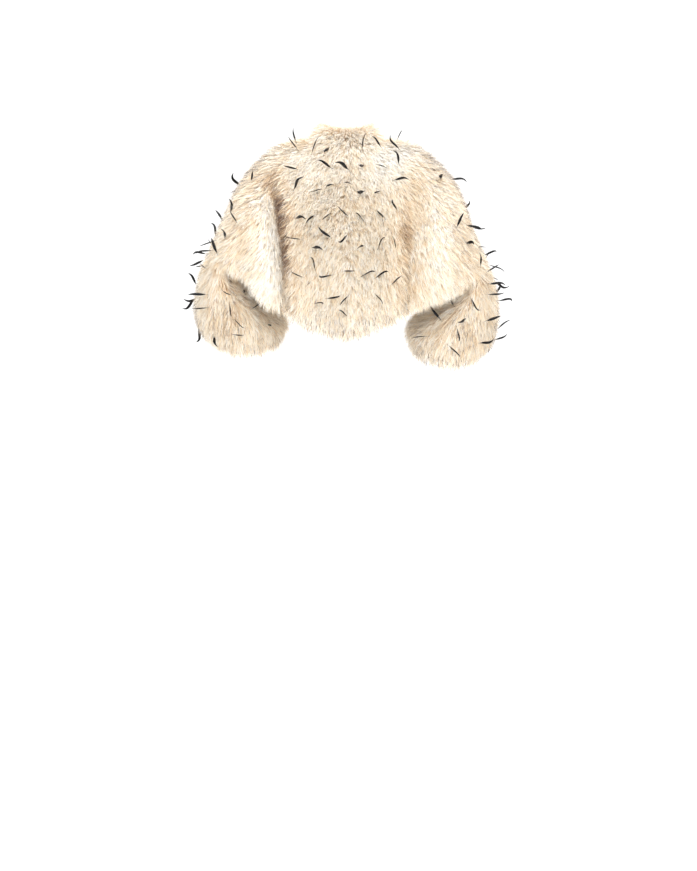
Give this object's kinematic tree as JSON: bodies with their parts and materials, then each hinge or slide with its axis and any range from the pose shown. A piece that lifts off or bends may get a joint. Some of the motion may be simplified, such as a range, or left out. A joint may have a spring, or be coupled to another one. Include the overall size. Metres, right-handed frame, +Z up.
{
  "type": "feather bolero",
  "caption": "Cropped, wide-sleeved bolero jacket in cream long-pile fur with slim black feathers, worn open, with a stand collar.",
  "frame": {"origin": "at the nape, on the inside of the stand collar's upper edge, in the middle of the back", "axes": "+Z up, -Y the way the wearer faces, +X the wearer's left; the back of the garment faces +Y"},
  "size_m": [0.8094, 0.4085, 0.5966],
  "materials": {
    "cream_fur": "long soft pile, cream tips over tan roots",
    "black_feather": "matte black feather with a slight grey sheen"
  },
  "bodies": {
    "root": {"back": "cream_fur", "front_left": "cream_fur", "front_right": "cream_fur", "sleeve_left": "cream_fur", "sleeve_right": "cream_fur", "collar": "cream_fur", "feathers_back_1": "black_feather", "feathers_back_2": "black_feather", "feathers_back_3": "black_feather", "feathers_back_4": "black_feather", "feathers_back_5": "black_feather", "feathers_back_6": "black_feather", "feathers_back_7": "black_feather", "feathers_front_left_1": "black_feather", "feathers_front_right_1": "black_feather", "feathers_sleeve_left_1": "black_feather", "feathers_sleeve_left_2": "black_feather", "feathers_sleeve_left_3": "black_feather", "feathers_sleeve_left_4": "black_feather", "feathers_sleeve_left_5": "black_feather", "feathers_sleeve_left_6": "black_feather", "feathers_sleeve_left_7": "black_feather", "feathers_sleeve_left_8": "black_feather", "feathers_sleeve_right_1": "black_feather", "feathers_sleeve_right_2": "black_feather", "feathers_sleeve_right_3": "black_feather", "feathers_sleeve_right_4": "black_feather", "feathers_sleeve_right_5": "black_feather", "feathers_sleeve_right_6": "black_feather", "feathers_sleeve_right_7": "black_feather", "feathers_sleeve_right_8": "black_feather"}
  },
  "joints": []
}
